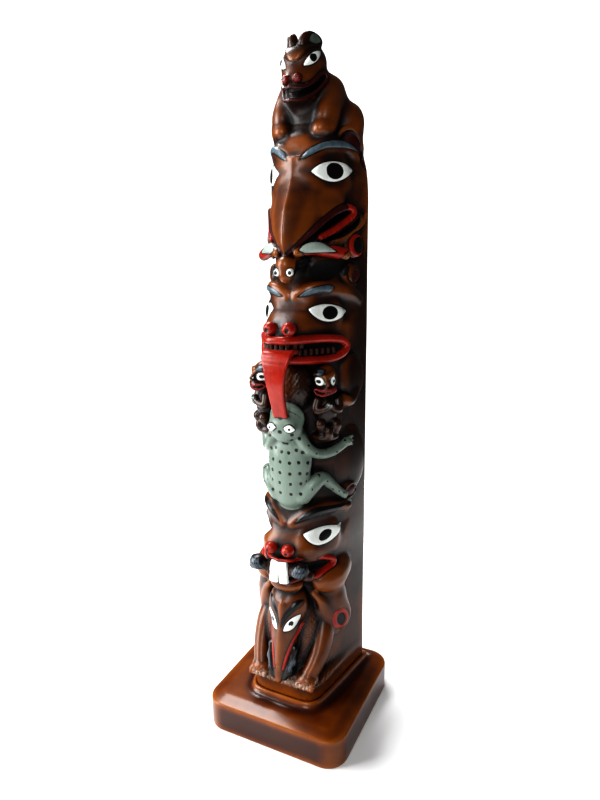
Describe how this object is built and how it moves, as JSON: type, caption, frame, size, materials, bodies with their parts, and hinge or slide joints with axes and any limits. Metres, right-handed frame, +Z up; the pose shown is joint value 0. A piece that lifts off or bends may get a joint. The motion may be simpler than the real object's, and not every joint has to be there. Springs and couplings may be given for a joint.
{
  "type": "totem pole",
  "caption": "Souvenir model totem pole in painted cast resin: a column of stacked animal figures with a flat back, standing in the raised lip of a square plinth.",
  "frame": {"origin": "centre of the plinth's square underside", "axes": "+Z up the pole, the figures face -Y, +X is to the right of someone who looks at their front"},
  "size_m": [0.09, 0.09, 0.3965],
  "materials": {
    "painted_resin": "cast resin, painted by hand in brown, red, grey blue, black and white under a satin varnish",
    "plinth_resin": "cast resin, painted brown under a semi-gloss varnish"
  },
  "bodies": {
    "root": {"totem_pole": "painted_resin", "plinth": "plinth_resin"}
  },
  "joints": []
}
